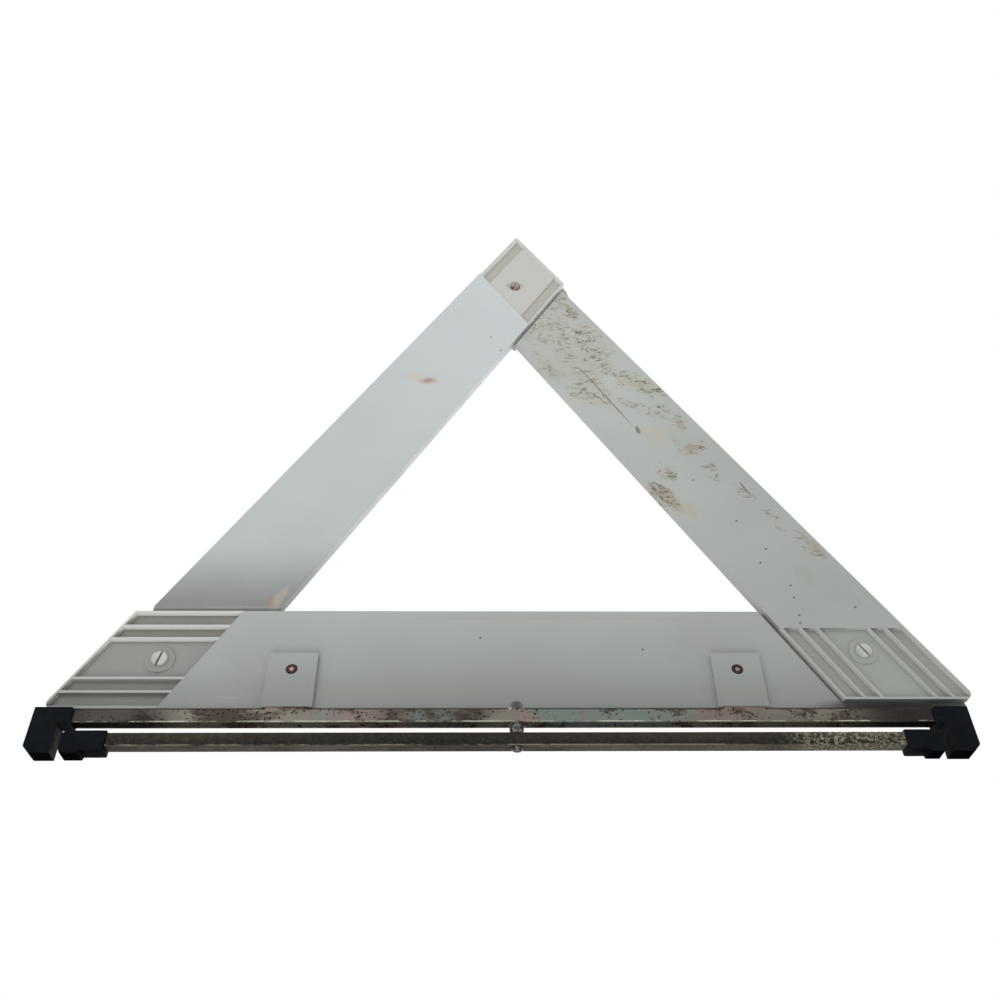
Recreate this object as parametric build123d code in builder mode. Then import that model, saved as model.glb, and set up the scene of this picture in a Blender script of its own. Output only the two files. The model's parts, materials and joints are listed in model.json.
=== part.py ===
from build123d import *
import math
import os

# A folding roadside warning triangle, upright on its closed two-leg stand.
# Frame: X along the stand, Y from the rear (-Y) to the reflective front (+Y), Z up.
# The origin is on the ground, under the middle of the bounding box. Millimetres.

# The triangle
side = 450.0  # outer side of the triangle
arm_width = 57.0
arm_thickness = 5.05
tray_thickness = 3.6  # the thin end of an arm that a crossing arm passes in front of
arm_gap = 0.2  # between a tray and the arm in front of it
base_height = 24.3  # ground to the lower edge of the base arm
pivot_place = 2.05  # the stand's pivot, beside the middle of the bounding box
triangle_shift = 4.5  # the triangle's centre line, beside the pivot

# One arm moulding
rear_wall = 1.6
outer_rim = 4.0
inner_rim = 2.0
end_rim = 1.6
strip_rib = 1.2  # the rib between the reflector and the fluorescent strip
strip_rib_place = -4.6  # its distance outward from the arm's centre line
ledge = 1.2
lens_back = 2.85  # depth from the rear face to the back of the front strips
lens_inset = 0.2
strip_clearance = 0.1
step_run = 3.5  # length of the ramp to the forward end
thin_end = 33.5  # the thin end reaches this far from the crossing, past the crossing arm
forward_reach = 27.5  # the forward end reaches this far past the crossing
corner_radius = 3.5  # sharp outer corners of the lower arms
apex_radius = 1.2  # sharp corner at the very top

# Ribbed trays, from one edge of the arm to the other
tray_rim = 1.5
groove_edges = ((1.5, 8.6), (10.1, 16.2), (40.8, 46.9), (48.4, 55.5))
tray_centre = (17.7, 39.3)
groove_depth = 2.3
centre_depth = 1.9
apex_groove = 8.0
apex_groove_depth = 1.8
apex_pad_depth = 0.5
apex_rim = 2.8
apex_notch = 0.9  # the top tray is narrower than its arm by this much, on the outer edge
apex_flare = 5.2  # the right arm's top end is wider by this much, on the outer edge
flare_run = 18.0

# Corner fasteners
pin_radius = 3.8
pin_head_radius = 4.2
pin_head_height = 1.3
pin_head_taper = 14
pin_flange_radius = 6.0
boss_radius = 7.3
boss_top = 1.1
flange_thickness = 1.2
pin_slot = 1.0
stud_radius = 3.0
stud_head_radius = 3.6
stud_head_height = 1.8
stud_head_taper = 20
stud_flange_radius = 5.0
stud_slot = 0.8
dimple_radius = 5.5
dimple_depth = 1.5
hole_clearance = 0.05

# Stand
leg_width = 6.6
leg_height = 6.5
leg_sheet = 0.8
leg_rear = -1.6  # rear face of the legs, from the rear face of the arms
upper_leg_bottom = 16.3
lower_leg_bottom = 4.0
rivet_radius = 2.2
rivet_head_radius = 3.6
rivet_head_height = 3.1
rivet_tail_radius = 2.9
rivet_tail_height = 1.2
rivet_tail_bevel = 0.5
rivet_notch = 3.9
washer_radius = 4.2
washer_sheet = 0.8
washer_dish = 0.3
spacer_radius = 3.45
pivot_gap = 0.3
tail_gap = 0.1

# Tongues of the upper leg and their pockets on the base arm
tab_distance = 110.0
tab_width = 24.3
tab_height = 30.0
tab_proud = 2.5
tongue_width = 20.0
tongue_reach = 26.0
tongue_clearance = 0.05
tab_hole_radius = 3.0
tongue_rivet_height = 20.6
tongue_rivet_radius = 1.5
tongue_rivet_head = 2.6
tongue_rivet_head_height = 0.75
tongue_rivet_taper = 25
tongue_rivet_tail = 2.4
tongue_rivet_tail_height = 0.9

# Feet
cap_depth = 8.5
cap_wall = 0.95
foot_chamfer = 3.4
lower_cap_bottom = 1.4
lower_cap_shoulder = 1.6
pad_chamfer = 1.2
sleeve_chamfer = 1.0
small_chamfer = 0.6

# Distances from the pivot, which is nearer to the right end of the stand
sides = {"left": -1, "right": 1}
upper_cap_inner = {"left": 209.75, "right": 200.85}
upper_cap_outer = {"left": 228.2, "right": 218.3}
foot_inner = {"left": 215.5, "right": 204.5}
lower_cap_inner = {"left": 191.4, "right": 183.9}
lower_cap_outer = {"left": 212.1, "right": 202.0}
pad_inner = {"left": 201.9, "right": 193.4}
leg_setback = 3.0  # from the outside of a cap to the end of the leg in it

# Worked out
slant = math.tan(math.radians(30))
half_width = arm_width / 2
centre_side = side - math.sqrt(3) * arm_width  # between the centres of two crossings
crossing = centre_side / 2
step = tray_thickness + arm_gap
cut_half = half_width / math.cos(math.radians(30))  # half the crossing's length along an arm
step_end = crossing - cut_half - arm_gap
step_start = step_end - step_run
front_most = arm_thickness + step
rear_most = leg_rear + (leg_width - cap_depth) / 2
depth_shift = -(front_most + rear_most) / 2  # puts the origin mid-way between rear and front
leg_centre = depth_shift + leg_rear + leg_width / 2
pivot = (pivot_place, leg_centre)
upper_leg_top = upper_leg_bottom + leg_height
lower_leg_top = lower_leg_bottom + leg_height
triangle_centre = base_height + half_width + centre_side * math.sqrt(3) / 6
inradius = centre_side * math.sqrt(3) / 6

os.makedirs("parts", exist_ok=True)


def arm_plane(turn):
    """The rear face of an arm: x along it to its forward end, y outward, z to the front."""
    angle = math.radians(turn)
    along = Vector(math.cos(angle), 0, math.sin(angle))
    outward = Vector(math.sin(angle), 0, -math.cos(angle))
    centre = Vector(pivot_place + triangle_shift, depth_shift, triangle_centre)
    middle = centre + outward * inradius
    return Plane(origin=middle, x_dir=along, z_dir=(0, 1, 0))


arms = {"base": arm_plane(0), "right": arm_plane(120), "left": arm_plane(240)}
tray_outer_end = {"base": 39.7, "right": 27.2, "left": 39.8}
tray_inner_end = {"base": 15.2, "right": 21.0, "left": 12.5}
fastener_place = {"base": -5.5, "right": 5.7, "left": -3.7}  # along the arm from its crossing
slot_turn = {"base": 14, "right": 90, "left": 90}  # the driver slot's turn from straight across


def fastener_plane(name):
    """The fastener axis through an arm's tray, with z to the front from the rear face."""
    place = arms[name]
    spot = place.from_local_coords((fastener_place[name] - crossing, 0, 0))
    return Plane(origin=spot, x_dir=place.x_dir, z_dir=(0, 1, 0))


def slanted_run(place, inner, outer, profile, forward_end, mode=Mode.ADD):
    """Carry a profile of (distance along, depth) points across an arm, parallel to an end cut."""
    lean = 1 if forward_end else -1
    start = place.from_local_coords((lean * outer * slant, outer, 0))
    across = Plane(origin=start, x_dir=place.x_dir, z_dir=-place.y_dir)
    heading = (-place.y_dir - place.x_dir * lean * slant).normalized()
    with BuildSketch(across) as section:
        with BuildLine():
            Polyline(*[(along, depth) for along, depth in profile], close=True)
        make_face()
    length = (outer - inner) / math.cos(math.radians(30))
    extrude(section.sketch, amount=length, dir=heading, mode=mode)


def level(start, end, back, front):
    """A rectangle between two depths."""
    return [(start, back), (end, back), (end, front), (start, front)]


def stepped(start, end, back, front):
    """A band between two depths that ramps forward before the crossing."""
    rear_line = [(start, back), (step_start, back), (step_end, back + step), (end, back + step)]
    front_line = [(along, depth + front - back) for along, depth in reversed(rear_line)]
    return rear_line + front_line


def arm_strip(place, inner, outer, first, last, back, front, mode=Mode.ADD):
    """A band of an arm from a tray-side cut to a forward-end cut, ramped at the forward end."""
    overlap = arm_width
    slanted_run(place, inner, outer, level(first, overlap, back, front), False, mode)
    slanted_run(place, inner, outer, stepped(-overlap, last, back, front), True, mode)


def housing_body(name):
    """The arm moulding without its fastener: thin tray end, hollow front and forward end."""
    place = arms[name]
    tray_start = -crossing - tray_outer_end[name]
    tray_stop = -crossing + tray_inner_end[name]
    thick_start = -crossing + thin_end
    last = crossing + forward_reach
    outer_edge = half_width
    if name == "left":
        outer_edge = half_width - apex_notch
    thin = level(tray_start, thick_start + arm_thickness, 0, tray_thickness)
    slanted_run(place, -half_width, outer_edge, thin, False)
    cover = level(tray_stop, thick_start + arm_thickness, 0, tray_thickness)
    slanted_run(place, -half_width, half_width, cover, False)
    arm_strip(place, -half_width, half_width, thick_start, last, 0, arm_thickness)
    if name == "right":
        with BuildSketch(place.offset(step)) as flare:
            with BuildLine():
                flare_end = crossing - cut_half * 0.2
                flat = step_end + half_width * slant
                Polyline(
                    (flat - flare_run, half_width),
                    (flat, half_width + apex_flare),
                    (flare_end + flare_run, half_width + apex_flare),
                    (flare_end + flare_run, half_width - strip_rib),
                    (flat - flare_run, half_width - strip_rib),
                    close=True,
                )
            make_face()
        extrude(flare.sketch, amount=tray_thickness)
    first = thick_start + end_rim
    last = last - end_rim
    for inner, outer in strip_places():
        arm_strip(place, inner, outer, first, last, lens_back, arm_thickness + 1, Mode.SUBTRACT)
        arm_strip(
            place,
            inner + ledge,
            outer - ledge,
            first + ledge,
            last - ledge,
            rear_wall,
            arm_thickness,
            Mode.SUBTRACT,
        )


def strip_places():
    """Inner and outer edges of the fluorescent strip's and the reflector's recesses."""
    fluorescent = (-half_width + inner_rim, strip_rib_place - strip_rib / 2)
    reflector = (strip_rib_place + strip_rib / 2, half_width - outer_rim)
    return fluorescent, reflector


def ribbed_tray(name):
    """Sink the grooves and the centre of a lower tray, and raise its boss."""
    place = arms[name]
    start = -crossing - tray_outer_end[name] + tray_rim
    stop = -crossing + tray_inner_end[name]
    floors = [(edges, groove_depth) for edges in groove_edges] + [(tray_centre, centre_depth)]
    for (low, high), depth in floors:
        groove = level(start, stop, -1, depth)
        slanted_run(place, low - half_width, high - half_width, groove, False, Mode.SUBTRACT)
    with BuildSketch(fastener_plane(name).offset(boss_top)) as boss:
        Circle(boss_radius)
    extrude(boss.sketch, amount=tray_thickness - boss_top)


def apex_tray(name):
    """Sink the top tray: a groove along each side of a raised pad with a dimple in it."""
    place = arms[name]
    start = -crossing - tray_outer_end[name] + apex_rim
    stop = -crossing + tray_inner_end[name]
    low = -half_width + tray_rim
    high = half_width - apex_notch - apex_rim
    pad = level(start, stop, -1, apex_pad_depth)
    slanted_run(place, low, high, pad, False, Mode.SUBTRACT)
    side_groove = level(start, stop, -1, apex_groove_depth)
    slanted_run(place, low, low + apex_groove, side_groove, False, Mode.SUBTRACT)
    slanted_run(place, high - apex_groove, high, side_groove, False, Mode.SUBTRACT)
    with BuildSketch(fastener_plane(name)) as dimple:
        Circle(dimple_radius)
    extrude(dimple.sketch, amount=dimple_depth, mode=Mode.SUBTRACT)


def fastener_holes(own, behind, own_radius, flange_radius, behind_radius):
    """Drill an arm's own tray, and drill and relieve its forward end for the next fastener."""
    with BuildSketch(fastener_plane(own).offset(-1)) as own_hole:
        Circle(own_radius + hole_clearance)
    extrude(own_hole.sketch, amount=tray_thickness + 2, mode=Mode.SUBTRACT)
    with BuildSketch(fastener_plane(behind).offset(step - 1)) as behind_hole:
        Circle(behind_radius + hole_clearance)
    extrude(behind_hole.sketch, amount=rear_wall + 2, mode=Mode.SUBTRACT)
    with BuildSketch(fastener_plane(behind).offset(step + rear_wall)) as relief:
        Circle(flange_radius + strip_rib / 2)
    extrude(relief.sketch, amount=lens_back - rear_wall, mode=Mode.SUBTRACT)


def round_tips(name, outer_edge, tray_radius, forward_radius=0.0):
    """Round the sharp outer corners of an arm, at its tray and at its forward end."""
    tips = {
        tray_radius: (-crossing - tray_outer_end[name] - outer_edge * slant, outer_edge, 0),
        forward_radius: (crossing + forward_reach + half_width * slant, half_width, step),
    }
    for radius, tip in tips.items():
        if radius > 0:
            spot = arms[name].from_local_coords(tip)
            corner = edges().filter_by(Axis.Y).sort_by_distance(spot)[0]
            fillet(corner, radius=radius)


tab_places = [(sign * tab_distance, 0) for sign in sides.values()]
tab_plane = Plane(
    origin=(pivot_place, depth_shift, base_height), x_dir=(1, 0, 0), z_dir=(0, -1, 0)
)
tongue_back = -leg_rear - leg_sheet  # gap between the tongue and the arm's rear face

# Arm housings
with BuildPart() as base_arm_housing:
    housing_body("base")
    round_tips("base", half_width, corner_radius * 0.9, corner_radius)
    ribbed_tray("base")
    fastener_holes("base", "right", pin_radius, pin_flange_radius, pin_radius)
    with BuildSketch(tab_plane):
        with Locations(*tab_places):
            Rectangle(tab_width, tab_height, align=(Align.CENTER, Align.MIN))
    extrude(amount=tab_proud)
    with BuildSketch(tab_plane.offset(tongue_back - tongue_clearance)):
        with Locations(*tab_places):
            pocket_width = tongue_width + 4 * tongue_clearance
            pocket_height = tongue_reach + tongue_clearance
            Rectangle(pocket_width, pocket_height, align=(Align.CENTER, Align.MIN))
    extrude(amount=leg_sheet + 2 * tongue_clearance, mode=Mode.SUBTRACT)
    with BuildSketch(tab_plane.offset(-leg_rear)):
        with Locations(*[(x, tongue_rivet_height) for x, _ in tab_places]):
            Circle(tab_hole_radius)
    extrude(amount=tab_proud, mode=Mode.SUBTRACT)
    with BuildSketch(tab_plane.offset(tongue_back)):
        with Locations(*[(x, tongue_rivet_height) for x, _ in tab_places]):
            Circle(tongue_rivet_radius + hole_clearance)
    extrude(amount=-(tongue_back + rear_wall + 1), mode=Mode.SUBTRACT)
    with BuildSketch(tab_plane.offset(tab_proud)):
        Circle(rivet_notch)
    extrude(amount=-(tab_proud + arm_thickness + 1), mode=Mode.SUBTRACT)
base_arm_housing.part.label = "base_arm_housing"

with BuildPart() as right_arm_housing:
    housing_body("right")
    round_tips("right", half_width, corner_radius)
    ribbed_tray("right")
    fastener_holes("right", "left", pin_radius, stud_flange_radius, stud_radius)
right_arm_housing.part.label = "right_arm_housing"

with BuildPart() as left_arm_housing:
    housing_body("left")
    round_tips("left", half_width - apex_notch, apex_radius, corner_radius)
    apex_tray("left")
    fastener_holes("left", "base", stud_radius, pin_flange_radius, pin_radius)
left_arm_housing.part.label = "left_arm_housing"

for housing in (base_arm_housing, right_arm_housing, left_arm_housing):
    export_step(housing.part, f"parts/{housing.part.label}.step")

# Front strips: a reflector along the outside of each arm, a fluorescent strip along the inside
strip_names = ("fluorescent_strip", "reflector")
for arm_name, arm_place in arms.items():
    for strip_name, (strip_inner, strip_outer) in zip(strip_names, strip_places()):
        with BuildPart() as strip:
            arm_strip(
                arm_place,
                strip_inner + strip_clearance,
                strip_outer - strip_clearance,
                -crossing + thin_end + end_rim + strip_clearance,
                crossing + forward_reach - end_rim - strip_clearance,
                lens_back,
                arm_thickness - lens_inset,
            )
        strip.part.label = f"{arm_name}_{strip_name}"
        export_step(strip.part, f"parts/{strip.part.label}.step")

# Split snap pins at the lower corners
for pin_name, tray_name in (("left_corner_pin", "base"), ("right_corner_pin", "right")):
    axis = fastener_plane(tray_name)
    flange_back = step + rear_wall
    with BuildPart() as corner_pin:
        with BuildSketch(axis.offset(flange_back)):
            Circle(pin_flange_radius)
        extrude(amount=flange_thickness)
        with BuildSketch(axis.offset(boss_top - hole_clearance)):
            Circle(pin_radius)
        extrude(amount=flange_back - boss_top + hole_clearance)
        with BuildSketch(axis.offset(boss_top - hole_clearance)):
            Circle(pin_head_radius)
        extrude(amount=-pin_head_height, taper=pin_head_taper)
        with BuildSketch(axis.offset(flange_back)):
            Rectangle(pin_slot, 3 * pin_head_radius, rotation=slot_turn[tray_name])
        extrude(amount=-(flange_back + 2), mode=Mode.SUBTRACT)
    corner_pin.part.label = pin_name
    export_step(corner_pin.part, f"parts/{pin_name}.step")

# Metal snap stud at the top
stud_axis = fastener_plane("left")
with BuildPart() as apex_stud:
    with BuildSketch(stud_axis.offset(step + rear_wall)):
        Circle(stud_flange_radius)
    extrude(amount=flange_thickness)
    with BuildSketch(stud_axis.offset(dimple_depth - hole_clearance)):
        Circle(stud_radius)
    extrude(amount=step + rear_wall - dimple_depth + hole_clearance)
    with BuildSketch(stud_axis.offset(dimple_depth - hole_clearance)):
        Circle(stud_head_radius)
    extrude(amount=-stud_head_height, taper=stud_head_taper)
    with BuildSketch(stud_axis.offset(step)):
        Rectangle(stud_slot, 3 * stud_head_radius, rotation=slot_turn["left"])
    extrude(amount=-(step + 2), mode=Mode.SUBTRACT)
apex_stud.part.label = "apex_stud"
export_step(apex_stud.part, "parts/apex_stud.step")


def leg_channel(bottom, hollow_bottom, cap_outer):
    """A channel from one cap to the other: a square bar with a hollow open on one side."""
    start = pivot_place - cap_outer["left"] + leg_setback
    length = cap_outer["left"] + cap_outer["right"] - 2 * leg_setback
    end_plane = Plane(origin=(start, leg_centre, 0), x_dir=(0, 1, 0), z_dir=(1, 0, 0))
    with BuildSketch(end_plane) as channel:
        with Locations((0, bottom)):
            Rectangle(leg_width, leg_height, align=(Align.CENTER, Align.MIN))
        with Locations((0, hollow_bottom)):
            inner = leg_width - 2 * leg_sheet
            hollow = leg_height - leg_sheet
            Rectangle(inner, hollow, align=(Align.CENTER, Align.MIN), mode=Mode.SUBTRACT)
    extrude(channel.sketch, amount=length)


# Upper leg: a channel open downward with two tongues, riveted to the base arm
with BuildPart() as upper_leg:
    leg_channel(upper_leg_bottom, upper_leg_bottom, upper_cap_outer)
    with BuildSketch(tab_plane.offset(tongue_back)):
        with Locations(*[(x, upper_leg_top - leg_height / 2 - base_height) for x, _ in tab_places]):
            tongue_length = tongue_reach + base_height - upper_leg_top + leg_height / 2
            Rectangle(tongue_width, tongue_length, align=(Align.CENTER, Align.MIN))
    extrude(amount=leg_sheet)
    with BuildSketch(tab_plane.offset(tongue_back)):
        with Locations(*[(x, tongue_rivet_height) for x, _ in tab_places]):
            Circle(tongue_rivet_radius + hole_clearance)
    extrude(amount=leg_sheet, mode=Mode.SUBTRACT)
    with BuildSketch(Plane.XY.offset(upper_leg_top)):
        with Locations(pivot):
            Circle(rivet_radius + hole_clearance)
    extrude(amount=-leg_sheet, mode=Mode.SUBTRACT)
upper_leg.part.label = "upper_leg"
export_step(upper_leg.part, "parts/upper_leg.step")

# Lower leg: a channel open upward that swings about the centre rivet
with BuildPart() as lower_leg:
    leg_channel(lower_leg_bottom, lower_leg_bottom + leg_sheet, lower_cap_outer)
    with BuildSketch(Plane.XY.offset(lower_leg_bottom)):
        with Locations(pivot):
            Circle(rivet_radius + hole_clearance)
    extrude(amount=leg_sheet, mode=Mode.SUBTRACT)
lower_leg.part.label = "lower_leg"
export_step(lower_leg.part, "parts/lower_leg.step")

# Pivot of the stand: rivet, dished washer and spacer
pivot_plane = Plane(origin=(*pivot, 0), x_dir=(1, 0, 0), z_dir=(0, -1, 0))
pivot_axis = Axis((*pivot, 0), (0, 0, 1))
with BuildPart() as pivot_rivet:
    with BuildSketch(pivot_plane):
        with BuildLine():
            tail_top = lower_leg_bottom - tail_gap
            tail_bottom = tail_top - rivet_tail_height
            head_top = upper_leg_top + rivet_head_height
            Polyline(
                (0, head_top),
                (0, tail_bottom),
                (rivet_radius, tail_bottom),
                (rivet_tail_radius, tail_bottom + rivet_tail_bevel),
                (rivet_tail_radius, tail_top),
                (rivet_radius, tail_top),
                (rivet_radius, upper_leg_top),
                (rivet_head_radius, upper_leg_top),
            )
            dome = (rivet_head_radius**2 + rivet_head_height**2) / (2 * rivet_head_height)
            dome_centre = head_top - dome
            rise = math.asin((upper_leg_top - dome_centre) / dome)
            halfway = (rise + math.pi / 2) / 2
            crown = (dome * math.cos(halfway), dome_centre + dome * math.sin(halfway))
            ThreePointArc((rivet_head_radius, upper_leg_top), crown, (0, head_top))
        make_face()
    revolve(axis=pivot_axis)
pivot_rivet.part.label = "pivot_rivet"
export_step(pivot_rivet.part, "parts/pivot_rivet.step")

spacer_top = upper_leg_bottom - washer_sheet - washer_dish
with BuildPart() as dished_washer:
    with BuildSketch(pivot_plane):
        with BuildLine():
            bore = rivet_radius + hole_clearance
            Polyline(
                (bore, spacer_top),
                (washer_radius, spacer_top + washer_dish),
                (washer_radius, spacer_top + washer_dish + washer_sheet),
                (bore, spacer_top + washer_sheet),
                close=True,
            )
        make_face()
    revolve(axis=pivot_axis)
dished_washer.part.label = "dished_washer"
export_step(dished_washer.part, "parts/dished_washer.step")

with BuildPart() as pivot_spacer:
    with BuildSketch(Plane.XY.offset(lower_leg_top + pivot_gap)):
        with Locations(pivot):
            Circle(spacer_radius)
            Circle(rivet_radius + hole_clearance, mode=Mode.SUBTRACT)
    extrude(amount=spacer_top - lower_leg_top - pivot_gap)
pivot_spacer.part.label = "pivot_spacer"
export_step(pivot_spacer.part, "parts/pivot_spacer.step")

# Rivets through the tongues
for rivet_name, (tab_x, _) in zip(("left_tongue_rivet", "right_tongue_rivet"), tab_places):
    spot = (tab_x, tongue_rivet_height)
    with BuildPart() as tongue_rivet:
        with BuildSketch(tab_plane.offset(-leg_rear)):
            with Locations(spot):
                Circle(tongue_rivet_head)
        extrude(amount=tongue_rivet_head_height, taper=tongue_rivet_taper)
        with BuildSketch(tab_plane.offset(-leg_rear)):
            with Locations(spot):
                Circle(tongue_rivet_radius)
        extrude(amount=leg_rear - rear_wall)
        with BuildSketch(tab_plane.offset(-rear_wall)):
            with Locations(spot):
                Circle(tongue_rivet_tail)
        extrude(amount=-tongue_rivet_tail_height)
    tongue_rivet.part.label = rivet_name
    export_step(tongue_rivet.part, f"parts/{rivet_name}.step")

# End caps: long feet on the upper leg, short stepped feet on the lower leg
cap_plane = Plane(
    origin=(pivot_place, leg_centre + cap_depth / 2, 0), x_dir=(1, 0, 0), z_dir=(0, -1, 0)
)


def end_cap(outline, side_name, leg_bottom, cap_outer):
    """A cap of an outline of (distance from the pivot, height) points, with a socket for a leg."""
    sign = sides[side_name]
    with BuildSketch(cap_plane) as face:
        with BuildLine():
            Polyline(*[(sign * distance, height) for distance, height in outline], close=True)
        make_face()
    extrude(face.sketch, amount=cap_depth)
    middle = Plane(origin=(pivot_place, leg_centre, 0), x_dir=(0, 1, 0), z_dir=(1, 0, 0))
    with BuildSketch(middle) as socket:
        with Locations((0, leg_bottom - hole_clearance)):
            width = leg_width + 2 * hole_clearance
            height = leg_height + 2 * hole_clearance
            Rectangle(width, height, align=(Align.CENTER, Align.MIN))
    reach = cap_outer[side_name] - leg_setback + hole_clearance
    extrude(socket.sketch, amount=sign * reach, mode=Mode.SUBTRACT)


for side in sides:
    sleeve_bottom = upper_leg_bottom - cap_wall
    sleeve_top = upper_leg_top + cap_wall
    inside = upper_cap_inner[side]
    outside = upper_cap_outer[side]
    upper_outline = [
        (inside + sleeve_chamfer, sleeve_top),
        (outside, sleeve_top),
        (outside, foot_chamfer),
        (outside - foot_chamfer, 0),
        (foot_inner[side], 0),
        (foot_inner[side], sleeve_bottom),
        (inside, sleeve_bottom),
        (inside, sleeve_top - sleeve_chamfer),
    ]
    with BuildPart() as upper_cap:
        end_cap(upper_outline, side, upper_leg_bottom, upper_cap_outer)
    upper_cap.part.label = f"{side}_upper_foot"
    export_step(upper_cap.part, f"parts/{upper_cap.part.label}.step")

    inside = lower_cap_inner[side]
    outside = lower_cap_outer[side]
    lower_top = lower_leg_top + cap_wall
    lower_outline = [
        (inside, lower_cap_bottom + small_chamfer),
        (inside, lower_top),
        (outside - lower_cap_shoulder, lower_top),
        (outside, lower_top - lower_cap_shoulder),
        (outside, 2 * pad_chamfer),
        (outside - pad_chamfer, 0),
        (pad_inner[side] + small_chamfer, 0),
        (pad_inner[side], lower_cap_bottom),
        (inside + small_chamfer, lower_cap_bottom),
    ]
    with BuildPart() as lower_cap:
        end_cap(lower_outline, side, lower_leg_bottom, lower_cap_outer)
    lower_cap.part.label = f"{side}_lower_foot"
    export_step(lower_cap.part, f"parts/{lower_cap.part.label}.step")
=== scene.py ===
"""The looks of a folding warning triangle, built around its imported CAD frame."""

import json
import math

import bmesh
import bpy
from mathutils import Matrix, Vector


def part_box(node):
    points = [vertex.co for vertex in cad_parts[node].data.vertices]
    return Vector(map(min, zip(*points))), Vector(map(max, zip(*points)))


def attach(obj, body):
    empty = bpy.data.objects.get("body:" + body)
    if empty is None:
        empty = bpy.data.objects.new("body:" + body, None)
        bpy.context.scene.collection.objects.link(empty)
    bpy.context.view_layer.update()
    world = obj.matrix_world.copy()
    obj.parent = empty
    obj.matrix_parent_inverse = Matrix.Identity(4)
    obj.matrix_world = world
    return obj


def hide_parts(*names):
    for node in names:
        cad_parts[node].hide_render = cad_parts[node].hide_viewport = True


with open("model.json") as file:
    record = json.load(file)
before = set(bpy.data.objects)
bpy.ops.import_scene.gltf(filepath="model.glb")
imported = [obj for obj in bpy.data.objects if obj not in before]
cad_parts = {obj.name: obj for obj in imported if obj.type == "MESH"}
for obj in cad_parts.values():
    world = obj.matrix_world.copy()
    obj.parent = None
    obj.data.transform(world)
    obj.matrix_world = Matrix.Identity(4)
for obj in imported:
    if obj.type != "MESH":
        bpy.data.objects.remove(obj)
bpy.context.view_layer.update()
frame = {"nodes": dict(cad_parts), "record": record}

MM = 0.001
scene = bpy.context.scene

# ---------------------------------------------------------------- the frame's own measures
# An arm's own axes: x along it to its forward end, z inward to the middle of the triangle.
ARM_TURNS = {"base": 0.0, "right": math.radians(120), "left": math.radians(240)}
ARM_WIDTH = 57.0 * MM
BASE_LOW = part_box("base_arm_housing")[0]
PIVOT = (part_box("pivot_rivet")[0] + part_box("pivot_rivet")[1]) / 2
TRIANGLE_SHIFT = 4.5 * MM
SIDE = 450.0 * MM
INRADIUS = (SIDE - math.sqrt(3) * ARM_WIDTH) * math.sqrt(3) / 6
TRIANGLE_CENTRE = Vector((PIVOT.x + TRIANGLE_SHIFT, 0, BASE_LOW.z + ARM_WIDTH / 2 + INRADIUS))


def arm_origin(arm):
    """The middle of an arm's centre line."""
    turn = ARM_TURNS[arm]
    return TRIANGLE_CENTRE + INRADIUS * Vector((math.sin(turn), 0, -math.cos(turn)))


# ---------------------------------------------------------------- camera
# The camera looks up at the rear of the triangle from below its base arm.
CAMERA_PLACE = Vector((-16.45, -425.0, -218.6)) * MM
CAMERA_YAW = 0.032
CAMERA_PITCH = 0.704
CAMERA_ROLL = -0.017
CAMERA_LENS = 35.815
CAMERA_SHIFT = (-0.003, 0.0253)


def add_camera():
    """A perspective camera from its place, heading, pitch and roll."""
    data = bpy.data.cameras.new("camera")
    data.lens = CAMERA_LENS
    data.sensor_width = 36.0
    data.shift_x, data.shift_y = CAMERA_SHIFT
    data.clip_start = 0.01
    data.clip_end = 50.0
    camera = bpy.data.objects.new("camera", data)
    scene.collection.objects.link(camera)
    flat = math.cos(CAMERA_PITCH)
    heading = Vector((math.sin(CAMERA_YAW), math.cos(CAMERA_YAW), 0))
    forward = heading * flat + Vector((0, 0, math.sin(CAMERA_PITCH)))
    level = Vector((heading.y, -heading.x, 0))
    upward = level.cross(forward)
    right = math.cos(CAMERA_ROLL) * level + math.sin(CAMERA_ROLL) * upward
    top = -math.sin(CAMERA_ROLL) * level + math.cos(CAMERA_ROLL) * upward
    turn = Matrix((right, top, -forward)).transposed().to_4x4()
    camera.matrix_world = Matrix.Translation(CAMERA_PLACE) @ turn
    scene.camera = camera


# ---------------------------------------------------------------- shader building blocks
def hex_colour(text):
    """A linear colour from a six-digit sRGB one."""
    values = [int(text[i : i + 2], 16) / 255 for i in (0, 2, 4)]
    linear = [v / 12.92 if v <= 0.04045 else ((v + 0.055) / 1.055) ** 2.4 for v in values]
    return (*linear, 1.0)


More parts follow.
